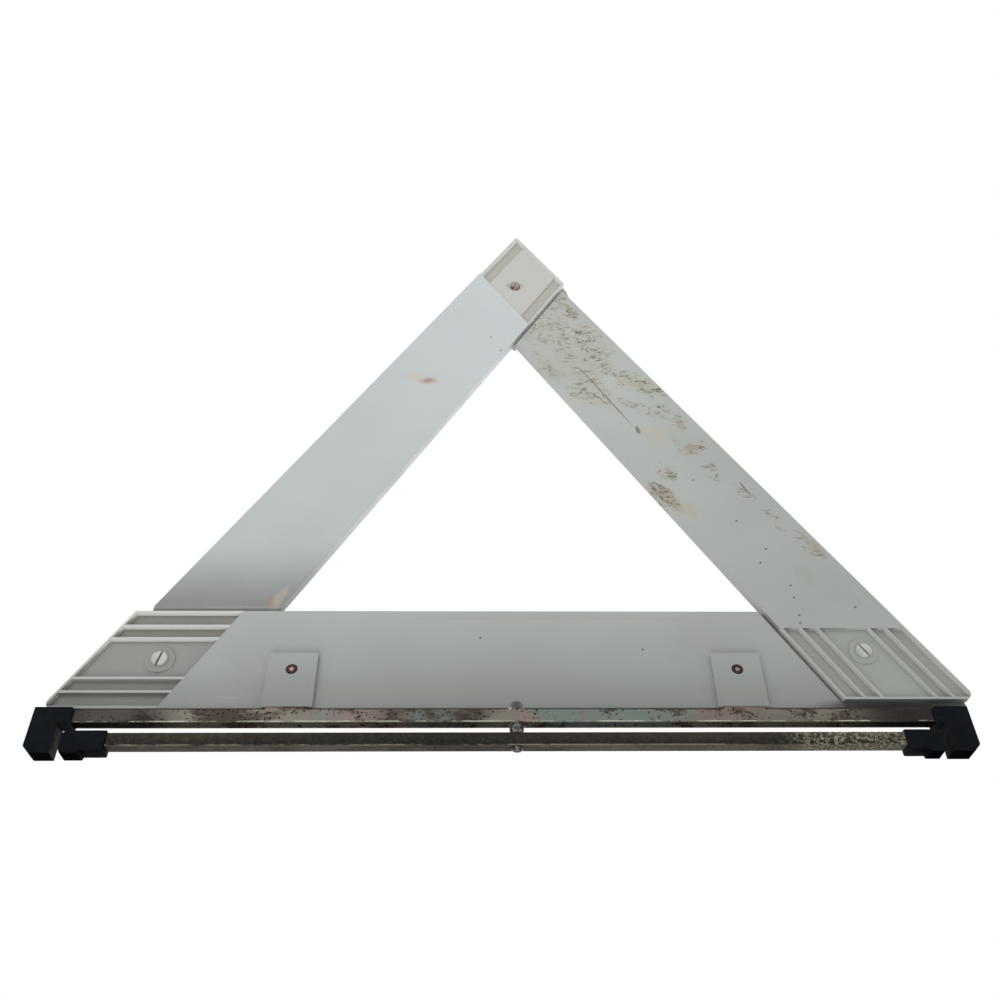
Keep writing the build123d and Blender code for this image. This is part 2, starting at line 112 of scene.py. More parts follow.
class Shader:
    """A node material with short calls for the nodes that this scene uses."""

    def __init__(self, name, roughness=0.5, metallic=0.0, coat=0.0):
        self.material = bpy.data.materials.new(name)
        self.material.use_nodes = True
        self.tree = self.material.node_tree
        self.surface = self.tree.nodes["Principled BSDF"]
        self.surface.inputs["Roughness"].default_value = roughness
        self.surface.inputs["Metallic"].default_value = metallic
        self.surface.inputs["Coat Weight"].default_value = coat
        coordinates = self.node("ShaderNodeTexCoord")
        self.place = coordinates.outputs["Object"]
        self.normal = coordinates.outputs["Normal"]

    def node(self, kind, **settings):
        made = self.tree.nodes.new(kind)
        for key, value in settings.items():
            setattr(made, key, value)
        return made

    def put(self, value, socket):
        """Link an output to a socket, or set the socket's own value."""
        if isinstance(value, bpy.types.NodeSocket):
            self.tree.links.new(value, socket)
        else:
            socket.default_value = value

    def mapped(self, location=(0, 0, 0), rotation=(0, 0, 0), size=(1, 1, 1), place=None):
        """Coordinates measured from a location, along turned axes, in units of a size."""
        made = self.node("ShaderNodeMapping", vector_type="TEXTURE")
        self.put(place or self.place, made.inputs["Vector"])
        made.inputs["Location"].default_value = location
        made.inputs["Rotation"].default_value = rotation
        made.inputs["Scale"].default_value = size
        return made.outputs[0]

    def part(self, vector, axis):
        """One coordinate of a vector."""
        made = self.node("ShaderNodeSeparateXYZ")
        self.put(vector, made.inputs[0])
        return made.outputs[axis]

    def ragged(self, place, scale, detail=2.0):
        """A noise in three channels, to fray outlines with."""
        made = self.node("ShaderNodeTexNoise")
        self.put(place, made.inputs["Vector"])
        made.inputs["Scale"].default_value = scale
        made.inputs["Detail"].default_value = detail
        return made.outputs["Color"]

    def shifted(self, place, jitter, reach):
        """Coordinates moved about by up to half a reach along and across an arm's face."""
        moved = self.node("ShaderNodeVectorMath", operation="MULTIPLY_ADD")
        self.put(jitter, moved.inputs[0])
        moved.inputs[1].default_value = (reach, 0, reach)
        self.put(place, moved.inputs[2])
        back = self.node("ShaderNodeVectorMath", operation="SUBTRACT")
        self.put(moved.outputs[0], back.inputs[0])
        back.inputs[1].default_value = (reach / 2, 0, reach / 2)
        return back.outputs[0]

    def noise(self, scale, detail=3.0, rough=0.5, warp=0.0, place=None):
        made = self.node("ShaderNodeTexNoise")
        self.put(place or self.place, made.inputs["Vector"])
        made.inputs["Scale"].default_value = scale
        made.inputs["Detail"].default_value = detail
        made.inputs["Roughness"].default_value = rough
        made.inputs["Distortion"].default_value = warp
        return made.outputs["Fac"]

    def cells(self, scale, place=None):
        """Distance to the nearest of many scattered points."""
        made = self.node("ShaderNodeTexVoronoi")
        self.put(place or self.place, made.inputs["Vector"])
        made.inputs["Scale"].default_value = scale
        return made.outputs["Distance"]

    def math(self, operation, first, second=0.0):
        made = self.node("ShaderNodeMath", operation=operation)
        self.put(first, made.inputs[0])
        self.put(second, made.inputs[1])
        return made.outputs[0]

    def ramp(self, value, low, high, to_low=0.0, to_high=1.0):
        """A smooth step from low to high."""
        made = self.node("ShaderNodeMapRange", interpolation_type="SMOOTHSTEP")
        self.put(value, made.inputs["Value"])
        made.inputs["From Min"].default_value = low
        made.inputs["From Max"].default_value = high
        made.inputs["To Min"].default_value = to_low
        made.inputs["To Max"].default_value = to_high
        return made.outputs[0]

    def mix(self, share, first, second):
        """A colour between two colours."""
        made = self.node("ShaderNodeMix", data_type="RGBA")
        self.put(share, made.inputs["Factor"])
        self.put(first, made.inputs["A"])
        self.put(second, made.inputs["B"])
        return made.outputs["Result"]

    def length(self, vector):
        made = self.node("ShaderNodeVectorMath", operation="LENGTH")
        self.put(vector, made.inputs[0])
        return made.outputs["Value"]

    def times(self, first, second):
        return self.math("MULTIPLY", first, second)

    def between(self, share, first, second):
        """A colour between two six-digit sRGB ones."""
        return self.mix(share, hex_colour(first), hex_colour(second))

    def tint(self, colour, share, text):
        """A colour moved by a share towards a six-digit sRGB one."""
        return self.mix(share, colour, hex_colour(text))

    def spot(self, place, location, size, turn=0.0, edge=0.45):
        """1 inside an ellipse on an arm's face and 0 outside, with a soft edge."""
        local = self.mapped(location, (0, turn, 0), size, place)
        return self.ramp(self.length(local), 1.0, edge)

    def crevice(self, reach):
        """0 in the open and 1 deep in a corner, within reach."""
        made = self.node("ShaderNodeAmbientOcclusion", samples=6)
        made.inputs["Distance"].default_value = reach
        return self.math("SUBTRACT", 1.0, made.outputs["AO"])

    def bump(self, height, strength, distance):
        made = self.node("ShaderNodeBump")
        self.put(height, made.inputs["Height"])
        made.inputs["Strength"].default_value = strength
        made.inputs["Distance"].default_value = distance
        self.put(made.outputs[0], self.surface.inputs["Normal"])

    def finish(self, colour, rough=None):
        self.put(colour, self.surface.inputs["Base Color"])
        if rough is not None:
            self.put(rough, self.surface.inputs["Roughness"])
        return self.material


# ---------------------------------------------------------------- plastics
DIRT = "564b3e"
GRIME_AND_SHADE = "6b6552"
NOT_FRAYED = 0.0
DOT_SIZE = (0.8, 0.8)  # half length and half width, in mm
MARK_DEPTH = 20 * MM  # a mark reaches this far in from the rear face
REAR_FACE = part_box("right_arm_housing")[0].y
TAB_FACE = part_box("base_arm_housing")[0].y
CUT_SLOPE = math.tan(math.radians(30))  # the slant of an arm's end cuts
CROSSING = (SIDE - math.sqrt(3) * ARM_WIDTH) / 2
TRAY_LENGTHS = {"base": 15.2 * MM, "right": 21.0 * MM, "left": 12.5 * MM}  # past the crossing
TRAY_BLUR = 0.3 * MM
GROOVE_DEPTHS = {"base": 2.3 * MM, "right": 2.3 * MM, "left": 1.8 * MM}


def arm_plastic(arm):
    """An arm's aged moulded plastic: a cloudy tint, then wear, dirt, stains, painted light and shade,
    and grain over it.
    """
    shader = Shader(f"{arm}_arm_plastic", roughness=0.42)
    local = shader.mapped(arm_origin(arm), (0, -ARM_TURNS[arm], 0))
    clouds = shader.ramp(shader.noise(9.0, detail=2.0, place=local), 0.35, 0.68)
    face, cloudy_face = ARM_TONES[arm][:2]
    colour = shader.between(clouds, face, cloudy_face)
    colour = tray_toned(shader, local, colour, arm)
    colour = underside_shaded(shader, colour)
    colour = tab_wear_and_highlight(shader, colour)
    colour = ground_shaded(shader, colour, ARM_SHADE[arm])
    colour = scratched(shader, local, colour)
    colour = stained_and_shadowed(shader, local, colour, ARM_MARKS[arm])
    if arm in ARM_TIDES:
        colour = tide_marked(shader, local, colour, ARM_TIDES[arm])
    for place_mm in ARM_DOTS[arm]:
        dot = shader.spot(local, *placed(place_mm, DOT_SIZE, 0), edge=0.6)
        colour = shader.tint(colour, shader.times(dot, 0.85), "42403b")

    # grime and painted shade in the corners
    patches = shader.ramp(shader.noise(60.0, detail=2.0, place=local), 0.3, 0.7, 0.5, 1.0)
    grime_and_shade = shader.times(shader.ramp(shader.crevice(1.6 * MM), 0.3, 0.95), patches)
    colour = shader.tint(colour, shader.times(grime_and_shade, 0.35), GRIME_AND_SHADE)

    rough = shader.ramp(shader.noise(45.0, detail=4.0, place=local), 0.3, 0.7, 0.36, 0.5)
    grain = shader.noise(900.0, detail=2.0, place=local)
    sink = shader.noise(18.0, detail=1.0, place=local)
    shader.bump(shader.math("ADD", shader.times(grain, 0.006), sink), 0.25, 0.6 * MM)
    return shader.finish(colour, rough)


def tray_toned(shader, local, colour, arm):
    """An arm's tray: ribs and rims paler, partly wear and partly a painted highlight; walls painted
    pale as if lit; sunken floors darkened by dirt and painted shade.
    """
    floor, groove, rib_wear_and_highlight, rib_share = ARM_TONES[arm][2:]
    cut = shader.times(shader.part(local, "Z"), CUT_SLOPE)
    from_cut = shader.math("SUBTRACT", shader.part(local, "X"), cut)
    stop = TRAY_LENGTHS[arm] - CROSSING
    in_tray = shader.ramp(from_cut, stop + TRAY_BLUR, stop - TRAY_BLUR)
    # wear and a painted highlight: a paler tone over the tray's ribs and rims
    colour = shader.tint(colour, shader.times(in_tray, rib_share), rib_wear_and_highlight)

    facing = shader.part(shader.normal, "Y")
    rearward = shader.ramp(facing, -0.5, -0.8)
    depth = shader.part(shader.place, "Y")
    groove_floor = REAR_FACE + GROOVE_DEPTHS[arm]
    # dirt and painted shade on sunken rear faces: tray floors, grooves, and the stepped ends behind
    # the neighbouring trays
    sunk = shader.ramp(depth, REAR_FACE + 0.1 * MM, REAR_FACE + 0.4 * MM)
    colour = shader.tint(colour, shader.times(sunk, rearward), floor)
    deepest = shader.ramp(depth, groove_floor - 0.3 * MM, groove_floor - 0.1 * MM)
    colour = shader.tint(colour, shader.times(deepest, rearward), groove)

    # painted light: walls in the tray are painted pale, as if lit from below
    painted_lit_wall = shader.times(shader.ramp(facing, -0.75, -0.3), in_tray)
    return shader.tint(colour, shader.times(painted_lit_wall, 0.7), "d6d8d4")


def underside_shaded(shader, colour):
    """Painted shade: downward faces near the ground are darkened nearly to black."""
    downward = shader.ramp(shader.part(shader.normal, "Z"), -0.7, -0.95)
    low = shader.ramp(shader.part(shader.place, "Z"), 0.06, 0.03)
    return shader.tint(colour, shader.times(shader.times(downward, low), 0.85), "2f2e29")


def tab_wear_and_highlight(shader, colour):
    """The side walls of the raised tabs are painted pale: partly wear, partly a painted highlight on
    their edges.
    """
    depth = shader.part(shader.place, "Y")
    behind_face = shader.ramp(depth, TAB_FACE, TAB_FACE + 0.1 * MM)
    raised = shader.ramp(depth, REAR_FACE - 0.8 * MM, REAR_FACE - 1.2 * MM)
    return shader.tint(colour, shader.times(shader.times(behind_face, raised), 0.75), "d4d6d4")


def ground_shaded(shader, colour, shade):
    """Painted shade: the plastic darkens towards the ground."""
    height = shader.part(shader.place, "Z")
    for low, high, strength in shade:
        colour = shader.tint(colour, shader.ramp(height, high, low, 0.0, strength), "5c5f5b")
    return colour


def scratched(shader, local, colour):
    """Fine pale scratches along the arm, and small dark specks, few and far between."""
    lengthwise = shader.mapped(size=(18, 1, 1), place=local)
    streaks = shader.noise(70.0, detail=5.0, rough=0.7, place=lengthwise)
    colour = shader.tint(colour, shader.ramp(streaks, 0.62, 0.76, 0.0, 0.22), "d9dad6")
    specks = shader.ramp(shader.cells(90.0, local), 0.08, 0.045)
    thin_out = shader.ramp(shader.noise(23.0, place=local), 0.62, 0.68)
    return shader.tint(colour, shader.times(specks, thin_out), "4b453c")


def stained_and_shadowed(shader, local, colour, marks):
    """Stains, scuffs and painted shadows, each an ellipse whose outline may be frayed."""
    ragged = shader.ragged(local, 160.0, detail=3.0)
    frayed = {}
    for place_mm, size_mm, turn, tint, strength, fray in marks:
        if fray not in frayed:
            frayed[fray] = shader.shifted(local, ragged, fray * MM)
        spot = shader.spot(frayed[fray], *placed(place_mm, size_mm, turn))
        colour = shader.tint(colour, shader.times(spot, strength), tint)
    return colour


def tide_marked(shader, local, colour, tides):
    """Dried tide marks, level with the ground: broken contours of a stretched noise over a scum."""
    wander = shader.mapped(rotation=(0, math.radians(-6), 0), size=(2.3, 1, 1))
    contour = shader.noise(135.0, detail=3.5, rough=0.62, warp=0.7, place=wander)
    bands = shader.math("PINGPONG", shader.times(contour, 7.0), 0.5)
    breaks = shader.ramp(shader.noise(150.0, detail=3.0, rough=0.6, place=wander), 0.40, 0.52)
    line = shader.times(shader.ramp(bands, 0.2, 0.05), breaks)
    frayed = shader.shifted(local, shader.ragged(local, 110.0), 9 * MM)
    reach = 0.0
    for place_mm, size_mm, turn, strength in tides:
        spot = shader.spot(frayed, *placed(place_mm, size_mm, turn), edge=0.6)
        reach = shader.math("MAXIMUM", shader.times(spot, strength), reach)
    colour = shader.tint(colour, shader.times(reach, 0.2), "979180")
    return shader.tint(colour, shader.times(line, reach), DIRT)


def placed(place_mm, size_mm, turn):
    """A mark's place and size on an arm, in metres, and its turn in radians."""
    along, inward = place_mm
    length, width = size_mm
    location = (along * MM, REAR_FACE, inward * MM)
    size = (length * MM, MARK_DEPTH, width * MM)
    return location, size, math.radians(turn)


# Tones: face, cloudier face, tray floor, groove floor, tray rib and its share.
# Shade: from and to a height, strength.
# The arms are one moulding. Their face tones differ partly by ageing and partly by painted light and
# shade: the left arm is lightest and the base darkest.
ARM_TONES = {
    "base": ("969b99", "8e918f", "7e817c", "72726a", "b9bab6", 0.8),
    "right": ("a4a8a4", "9a9e9a", "979d96", "93978f", "abafaa", 0.5),
    "left": ("b3b8ba", "adb2b4", "adaeaa", "9f9d95", "b2b2ae", 0.7),
}
ARM_SHADE = {
    "base": [(0.02, 0.1, 0.42), (0.022, 0.05, 0.38)],
    "right": [(0.02, 0.3, 0.4)],
    "left": [(0.03, 0.36, 0.35), (0.078, 0.13, 0.8)],
}
# Marks: (along, inward) and (half length, half width) in mm, turn in degrees, tint, strength,
# and how far the outline frays in mm.
ARM_MARKS = {
    "right": [
        ((105, 0), (62, 30), 0, "a5a198", 0.45, 9),
        ((66, 14), (26, 13), 4, "9f9a8c", 0.3, 9),
        ((7, 1), (15, 10), 0, "a39b8a", 0.3, 9),
        ((88, 23), (12, 6), 0, "969180", 0.45, 9),
        ((92, 23), (3.5, 2.0), 20, "7c7465", 0.6, 4),
        ((134, -21), (9, 3.0), 10, "827961", 0.6, 5),
        ((144, -20), (8, 2.0), -30, "827961", 0.5, 5),
        ((50, -19), (18, 7), -28, "99937c", 0.45, 7),
        ((8, -19), (6, 4.0), 35, "867c64", 0.5, 5),
        ((-12, -14), (2.8, 8), 26, "7d705e", 0.65, 6),
        ((-14, -8), (2.0, 6), 20, "8e8474", 0.6, 4),
        ((-22, 12), (7, 3.2), 8, "7f7a70", 0.6, 6),
        ((-29, 27), (9, 1.6), 0, "6b5f4a", 0.75, 4),
        ((-38, 24), (14, 4.5), 0, "867a5e", 0.65, 6),
        ((-50, 20), (9, 5.0), 0, "99927f", 0.55, 6),
        ((-53, -19), (7.5, 0.9), 6, "5f5d57", 0.8, 0.8),
        ((-76, -19), (7, 0.5), -14, "696761", 0.7, 0.5),
        ((-86, -16), (4, 1.6), 0, "7c807a", 0.6, 3),
        ((-104, -24), (14, 3.0), 4, "857c6a", 0.5, 5),
        ((-118, -6), (12, 5), 0, "868b84", 0.45, 5),
        ((17, 6.6), (4.6, 1.8), 22, "5a5248", 0.8, 1.5),
        ((52, 6.6), (39, 0.6), 1.2, "564b40", 0.9, NOT_FRAYED),
        ((61, -9.4), (8, 0.5), 0, "7b7263", 0.5, NOT_FRAYED),
    ],
    "left": [
        ((-62.5, -9), (7.5, 8.5), -30, "b3a99d", 0.5, 6),
        ((-63.5, 1), (4.6, 7.5), -30, "a18b7b", 0.65, 5),
        ((-64, 0.5), (2.2, 3.5), -30, "85644f", 0.6, 2),
        ((124, 22), (5, 2.0), -40, "8f6a4c", 0.6, 3),
        ((118, 24), (9, 3.2), 0, "9c9482", 0.5, 5),
    ],
    "base": [
        ((20, 24), (130, 1.6), 0, "8f8c80", 0.35, 2),
        ((-60, -20), (60, 5), 0, "7f7c72", 0.3, 5),
        ((120, -22), (50, 4), 0, "7f7c72", 0.3, 5),
        # painted shadow: the dark band under the right arm's tray
        ((185, -29), (54, 8), 0, "161613", 0.95, 1),
    ],
}
# Small dark dots: (along, inward) in mm.
ARM_DOTS = {
    "right": [
        (-33, 3),
        (-70, 1),
        (-94, 0),
        (-100, 9),
        (-120, 5),
        (-127, 9),
        (-137, 14),
        (-141, 17),
        (-148, -15),
    ],
    "left": [(-121.4, 13.5), (-113.2, 25.7)],
    "base": [(60, 5), (-22, 12)],
}
# Tide marks: (along, inward) and (half length, half width) in mm, turn in degrees, strength.
ARM_TIDES = {
    "right": [
        ((150, -19), (9, 8), 0, 0.9),
        ((137, -1), (5, 24), -28, 0.9),
        ((134, -20), (11, 7), 0, 0.8),
        ((117, 0), (10, 26), 10, 0.7),
        ((128, 4), (16, 20), 0, 0.55),
        ((92, 4), (22, 14), 0, 0.6),
        ((101, -16), (22, 13), 0, 1.0),
        ((80, -5), (15, 12), 0, 0.95),
        ((50, -19), (24, 10), -28, 1.0),
        ((60, 11), (20, 12), 0, 0.7),
        ((84, 22), (16, 6), 0, 0.4),
        ((96, 23), (16, 6), 0, 0.6),
        ((66, 23), (10, 4), 0, 0.5),
        ((32, -6), (20, 5), -28, 0.7),
        ((24, -19), (7, 4), 0, 0.9),
        ((9, -19), (8, 6), 0, 1.0),
        ((-5, -7), (9, 4), 30, 0.8),
        ((-12, -14), (6, 11), 26, 0.8),
        ((-20, 12), (11, 6), 0, 0.9),
        ((-36, 25), (16, 6), 0, 1.0),
        ((-33, -11), (10, 5), 0, 0.8),
        ((-56, -17), (10, 4), 0, 0.7),
        ((-80, -18), (11, 4), 0, 0.6),
        ((-104, -22), (14, 5), 0, 0.6),
    ],
}


def pin_plastic():
    """The paler plastic of the snap pins."""
    shader = Shader("pin_plastic", roughness=0.4)
    colour = shader.between(shader.ramp(shader.noise(180.0), 0.35, 0.7), "a4a6a0", "989a93")
    # grime and painted shade in the corners
    grime_and_shade = shader.ramp(shader.crevice(1.5 * MM), 0.3, 0.95, 0.0, 0.6)
    colour = shader.tint(colour, grime_and_shade, GRIME_AND_SHADE)
    shader.bump(shader.noise(1500.0), 0.12, 0.2 * MM)
    return shader.finish(colour)


def foot_plastic():
    """Near-black end caps: a leather-like grain and faint, paler scuffs."""
    shader = Shader("foot_plastic", roughness=0.6)
    shader.surface.inputs["Specular IOR Level"].default_value = 0.06
    clouds = shader.ramp(shader.noise(120.0, detail=4.0), 0.4, 0.7)
    colour = shader.between(clouds, "060a0e", "0a0f14")
    scuffs = shader.noise(420.0, detail=5.0, rough=0.75, place=shader.mapped(size=(3, 1, 1)))
    colour = shader.tint(colour, shader.ramp(scuffs, 0.62, 0.74, 0.0, 0.35), "22282e")
    rough = shader.ramp(scuffs, 0.3, 0.7, 0.5, 0.7)
    shader.bump(shader.cells(1400.0), 0.25, 0.15 * MM)
    return shader.finish(colour, rough)


# ---------------------------------------------------------------- front strips
def reflector_red():
    """Clear red acrylic over a field of pressed prisms."""
    shader = Shader("reflector_red", roughness=0.12, coat=1.0)
    shader.surface.inputs["Coat Roughness"].default_value = 0.05
    shader.surface.inputs["IOR"].default_value = 1.49
    depth = shader.ramp(shader.noise(14.0, detail=2.0), 0.3, 0.7)
    colour = shader.between(depth, "b8070d", "8e0409")
    # dust and painted shade in the corners
    dust_and_shade = shader.ramp(shader.crevice(1.2 * MM), 0.3, 0.9, 0.0, 0.5)
    colour = shader.tint(colour, dust_and_shade, "4a0305")
    return shader.finish(colour, shader.ramp(shader.noise(300.0), 0.3, 0.7, 0.08, 0.2))


def fluorescent_red():
    """Fluorescent orange-red plastic, satin, faded a little towards orange."""
    shader = Shader("fluorescent_red", roughness=0.35)
    fade = shader.ramp(shader.noise(10.0, detail=3.0), 0.35, 0.7)
    colour = shader.between(fade, "ff4a1c", "f55a2c")
    # dust and painted shade in the corners
    dust_and_shade = shader.ramp(shader.crevice(1.5 * MM), 0.3, 0.9, 0.0, 0.5)
    colour = shader.tint(colour, dust_and_shade, "8a2c14")
    shader.bump(shader.noise(700.0), 0.12, 0.2 * MM)
    return shader.finish(colour)


# ---------------------------------------------------------------- metals
LEG_REAR = REAR_FACE - 1.6 * MM
SOOTY_PLACE = -40 * MM  # along the stand from the pivot


def along_leg(shader):
    """How far a point of the stand is from the pivot, positive to the right, in metres."""
    return shader.math("SUBTRACT", shader.part(shader.place, "X"), PIVOT.x)


def zinc_steel():
    """Passivated zinc on the upper leg: pink and green tints, brown blotches and rust pits."""
    shader = Shader("zinc_steel", roughness=0.5, metallic=0.35)
    shader.surface.inputs["Specular IOR Level"].default_value = 0.3
    drift = shader.noise(22.0, detail=4.0, rough=0.6, place=shader.mapped(size=(2.5, 1, 1)))
    colour = shader.between(shader.ramp(drift, 0.38, 0.62), "767067", "5f5950")
    along = along_leg(shader)
    distance = shader.math("ABSOLUTE", along)

    # pink and green tints along the middle
    middle = shader.ramp(distance, 0.14, 0.06)
    pink = shader.ramp(shader.noise(31.0, detail=2.0, warp=0.6), 0.45, 0.6, 0.0, 0.8)
    colour = shader.tint(colour, shader.times(pink, middle), "7a6665")
    green_noise = shader.noise(27.0, detail=2.0, place=shader.mapped((0.4, 0, 0)))
    green = shader.ramp(green_noise, 0.48, 0.62, 0.0, 0.8)
    colour = shader.tint(colour, shader.times(green, middle), "62716a")

    # brown blotches, a sooty stretch, and dark ends near the feet, which are dirt with painted shade
    blotch = shader.noise(75.0, detail=6.0, rough=0.68, place=shader.mapped(size=(1.8, 1, 1)))
    colour = shader.tint(colour, shader.ramp(blotch, 0.5, 0.59, 0.0, 0.85), "3a2e25")
    from_soot = shader.math("ABSOLUTE", shader.math("SUBTRACT", along, SOOTY_PLACE))
    sooty = shader.ramp(from_soot, 0.04, 0.015, 0.0, 0.6)
    colour = shader.tint(colour, shader.times(sooty, shader.ramp(blotch, 0.35, 0.55)), "3a322b")
    ends = shader.ramp(distance, 0.153, 0.18, 0.0, 0.97)
    patchy = shader.times(ends, shader.ramp(drift, 0.35, 0.6, 0.8, 1.0))
    colour = shader.tint(colour, patchy, "1f1b18")

    # rust pits
    pits = shader.times(shader.ramp(shader.cells(520.0), 0.36, 0.2), shader.ramp(blotch, 0.4, 0.52))
    colour = shader.tint(colour, pits, "17110d")
    # worn metal with a painted glint along the fold
    colour = fold_wear_and_glint(shader, colour, "upper_leg", "b9bfae", 0.75)
    rough = shader.ramp(blotch, 0.45, 0.65, 0.42, 0.75)
    height = shader.math("ADD", blotch, shader.times(pits, -1.5))
    shader.bump(height, 0.35, 0.12 * MM)
    return shader.finish(colour, rough)


def fold_wear_and_glint(shader, colour, node, tint, strength):
    """Worn bare metal with a painted glint, in short runs along the rear fold of a leg's lower edge.
    """
    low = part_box(node)[0]
    from_edge = 0.0
    for axis, edge in (("Y", LEG_REAR), ("Z", low.z)):
        gap = shader.math("ABSOLUTE", shader.math("SUBTRACT", shader.part(shader.place, axis), edge))
        from_edge = shader.math("MAXIMUM", gap, from_edge)
    runs = shader.noise(110.0, detail=5.0, rough=0.75, place=shader.mapped(size=(3, 1, 1)))
    share = shader.times(shader.ramp(from_edge, 0.6 * MM, 0.25 * MM), shader.ramp(runs, 0.46, 0.58))
    return shader.tint(colour, shader.times(share, strength), tint)


def tarnished_steel():
    """The lower leg: brown-black tarnish, with bare metal near its right end, worn metal with a
    painted glint along its fold, and an underside painted paler as if lit.
    """
    shader = Shader("tarnished_steel", roughness=0.6, metallic=0.3)
    shader.surface.inputs["Specular IOR Level"].default_value = 0.25
    cloud = shader.noise(40.0, detail=6.0, rough=0.65, place=shader.mapped(size=(2.2, 1, 1)))
    colour = shader.between(shader.ramp(cloud, 0.36, 0.62), "181310", "2e2720")
    low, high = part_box("lower_leg")
    height = shader.part(shader.place, "Z")
    towards_fold = shader.ramp(height, high.z - 2 * MM, low.z + 1.2 * MM, 0.0, 0.7)
    colour = shader.tint(colour, towards_fold, "0c0908")

    # painted light: the underside is paler, in streaks along the leg
    streaks = shader.noise(90.0, detail=5.0, rough=0.7, place=shader.mapped(size=(3, 1, 1)))
    downward = shader.ramp(shader.part(shader.normal, "Z"), -0.5, -0.9)
    lit_underside = shader.times(downward, shader.ramp(streaks, 0.4, 0.62, 0.3, 0.8))
    colour = shader.tint(colour, lit_underside, "58524a")

    # bare metal shows in fine specks near the right end
    speck_place = shader.mapped((0.1, 0, 0), size=(1.2, 1, 1))
    bare = shader.noise(760.0, detail=5.0, rough=0.75, place=speck_place)
    patch = shader.ramp(along_leg(shader), 0.12, 0.145, 0.05, 1.0)
    share = shader.times(shader.ramp(bare, 0.46, 0.6), patch)
    colour = shader.tint(colour, shader.times(share, 0.8), "8f8d78")
    colour = fold_wear_and_glint(shader, colour, "lower_leg", "8a8478", 0.6)
    rough = shader.ramp(bare, 0.45, 0.65, 0.65, 0.45)
    shader.bump(shader.math("ADD", cloud, bare), 0.3, 0.1 * MM)
    return shader.finish(colour, rough)


def rivet_steel():
    """Small plated hardware with dark tarnish in patches."""
    shader = Shader("rivet_steel", roughness=0.35, metallic=0.7)
    tarnish = shader.noise(500.0, detail=5.0, rough=0.65)
    colour = shader.between(shader.ramp(tarnish, 0.42, 0.6), "6f726c", "25231f")
    rough = shader.ramp(tarnish, 0.4, 0.65, 0.35, 0.65)
    shader.bump(tarnish, 0.3, 0.06 * MM)
    return shader.finish(colour, rough)


def headed_metal(node, centre, rim, core):
    """A rivet or stud: worn copper in the middle of its head, dark towards its rim."""
    shader = Shader(f"{node}_metal", roughness=0.35, metallic=0.6)
    low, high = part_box(node)
    middle = shader.mapped((low + high) / 2, size=(1, 1000, 1))
    uneven = shader.noise(600.0, detail=3.0)
    reach = shader.math("ADD", shader.length(middle), shader.times(uneven, 0.6 * MM))
    colour = shader.between(shader.ramp(reach, core * 0.8, core * 1.15), centre, rim)
    shader.bump(uneven, 0.3, 0.08 * MM)
    return shader.finish(colour, shader.ramp(uneven, 0.4, 0.65, 0.3, 0.55))


# ---------------------------------------------------------------- pieces
ROUNDED_ANGLE = math.radians(28)  # sharper edges are corners, gentler ones belong to a curve
FLAT_ANGLE = math.radians(0.6)
JOIN_DISTANCE = 0.002 * MM
PRISM_PITCH = 3.4 * MM
PRISM_SINK = 0.9 * MM
CUT_TOLERANCE = 0.01 * MM
SMALLEST_PRISM = 0.4 * MM * MM


def node_body(node):
    """The body that a CAD node rides on."""
    for body, members in frame["record"]["behaviour"]["bodies"].items():
        if node in members:
            return body
    raise ValueError(node)


def clean_copy(node):
    """A CAD node's surface as a bmesh with shared corners and whole flat faces."""
    shape = bmesh.new()
    shape.from_mesh(frame["nodes"][node].data)
    bmesh.ops.remove_doubles(shape, verts=shape.verts, dist=JOIN_DISTANCE)
    bmesh.ops.dissolve_limit(shape, angle_limit=FLAT_ANGLE, verts=shape.verts, edges=shape.edges)
    return shape


def add_piece(node, name, shape, material):
    """Make an object from a bmesh that stands for a CAD node and rides with its body."""
    mesh = bpy.data.meshes.new(name)
    shape.to_mesh(mesh)
    shape.free()
    mesh.materials.append(material)
    for face in mesh.polygons:
        face.use_smooth = True
    piece = bpy.data.objects.new(name, mesh)
    scene.collection.objects.link(piece)
    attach(piece, node_body(node))
    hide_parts(node)
    return piece


def mark_edges(shape):
    """Mark the outer corners of a bmesh to be rounded, and its inner corners to stay sharp."""
    weight = shape.edges.layers.float.new("bevel_weight_edge")
    for edge in shape.edges:
        if len(edge.link_faces) == 2 and edge.calc_face_angle() > ROUNDED_ANGLE:
            edge[weight] = 1.0 if edge.is_convex else 0.0
            edge.smooth = edge.is_convex


def round_edges(piece, width, segments):
    """Round the marked edges, and keep the flats flat."""
    bevel = piece.modifiers.new("round", "BEVEL")
    bevel.width = width
    bevel.segments = segments
    bevel.limit_method = "WEIGHT"
    bevel.use_clamp_overlap = True
    normals = piece.modifiers.new("flats", "WEIGHTED_NORMAL")
    normals.keep_sharp = True


def moulded(node, material, width, segments=3):
    """A CAD node as it comes out of its mould, with rounded edges."""
    shape = clean_copy(node)
    mark_edges(shape)
    piece = add_piece(node, f"{node}_moulded", shape, material)
    round_edges(piece, width, segments)


